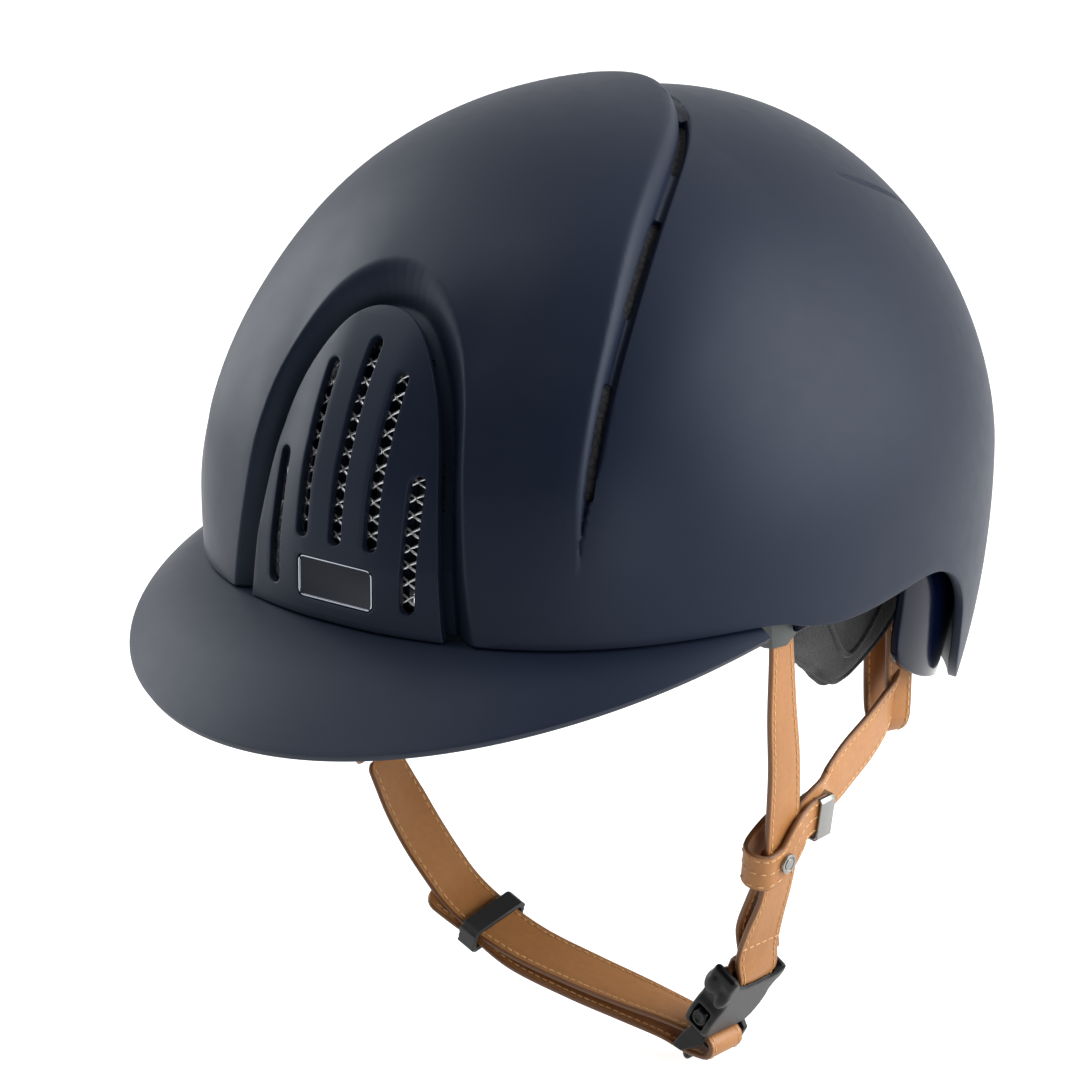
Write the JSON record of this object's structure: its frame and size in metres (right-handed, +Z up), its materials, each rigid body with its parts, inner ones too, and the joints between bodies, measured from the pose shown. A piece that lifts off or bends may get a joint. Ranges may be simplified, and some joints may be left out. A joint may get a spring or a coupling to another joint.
{
  "type": "equestrian riding helmet",
  "caption": "Riding helmet with a raised front band, recessed vented grille, peak, foam liner, textile pads and a leather harness with side-release buckle.",
  "frame": {"origin": "centre of the head space, at the height where the shell is widest and midway between its sides", "axes": "+Z up through the crown, -Y to the front where the peak is, +X to the wearer's left"},
  "size_m": [0.226, 0.3205, 0.3094],
  "materials": {
    "shell_paint": "matte navy paint on a moulded shell, fine soft-touch grain",
    "gloss_trim": "polished navy plastic",
    "foam": "expanded foam beads, matte black; fabric stands for its low weight",
    "textile": "heathered charcoal knit over soft foam",
    "wire": "bright woven wire",
    "badge": "bare dark plate with a bright rim",
    "leather": "smooth tan leather, rolled and stitched edges",
    "gunmetal": "dark plated metal, brighter edges",
    "buckle_plastic": "satin black moulding",
    "keeper_rubber": "matte black soft moulding",
    "hanger_plastic": "black moulding",
    "guide_plastic": "grey moulding"
  },
  "bodies": {
    "helmet": {"outer_shell": "shell_paint", "front_grille": "shell_paint", "grille_mesh": "wire", "badge_plate": "badge", "peak": "shell_paint", "peak_tab_left": "gloss_trim", "peak_tab_right": "gloss_trim", "foam_liner": "foam", "brow_pad": "textile", "crown_pad": "textile", "nape_pad": "textile", "side_pad_left": "textile", "side_pad_right": "textile", "nape_plate": "gloss_trim", "front_hanger_left": "hanger_plastic", "front_hanger_right": "hanger_plastic", "rear_hanger_left": "hanger_plastic", "rear_hanger_right": "hanger_plastic", "strap_guide_left": "guide_plastic", "strap_guide_right": "guide_plastic", "front_strap_left": "leather", "front_strap_right": "leather", "rear_loop_left": "leather", "rear_loop_right": "leather", "rear_strap_left": "leather", "rear_strap_right": "leather", "chin_strap": "leather", "buckle_socket": "buckle_plastic"},
    "buckle_plug": {"buckle_tongue": "buckle_plastic"},
    "front_button": {"buckle_arm_front": "buckle_plastic"},
    "rear_button": {"buckle_arm_rear": "buckle_plastic"},
    "left_slider": {"slider_loop_left": "leather", "snap_left": "gunmetal", "strap_clip_left": "gunmetal"},
    "right_slider": {"slider_loop_right": "leather", "snap_right": "gunmetal", "strap_clip_right": "gunmetal"},
    "keeper": {"strap_keeper": "keeper_rubber"}
  },
  "joints": [
    {"name": "buckle_release", "type": "slide", "parent": "helmet", "child": "buckle_plug", "axis": [-0.5577, 0, -0.83], "range_m": [0, 0.022], "deforming": ["chin_strap", "buckle_arm_front", "buckle_arm_rear"]},
    {"name": "front_button_squeeze", "type": "hinge", "parent": "buckle_plug", "child": "front_button", "pos_m": [0.06012, -0.0234, -0.17018], "axis": [-0.83, 0, 0.5577], "range_deg": [0, 6], "stiffness_Nm_per_rad": 0.4},
    {"name": "rear_button_squeeze", "type": "hinge", "parent": "buckle_plug", "child": "rear_button", "pos_m": [0.06012, -0.0094, -0.17018], "axis": [0.83, 0, -0.5577], "range_deg": [0, 6], "stiffness_Nm_per_rad": 0.4},
    {"name": "left_slider_slide", "type": "slide", "parent": "helmet", "child": "left_slider", "axis": [0.1822, -0.0506, 0.982], "range_m": [-0.002, 0.01], "deforming": ["rear_strap_left"]},
    {"name": "right_slider_slide", "type": "slide", "parent": "helmet", "child": "right_slider", "axis": [-0.3945, -0.1644, 0.9041], "range_m": [-0.002, 0.01], "deforming": ["rear_strap_right"]},
    {"name": "keeper_slide", "type": "slide", "parent": "helmet", "child": "keeper", "axis": [-0.9099, 0, 0.4149], "range_m": [-0.006, 0.006]}
  ]
}
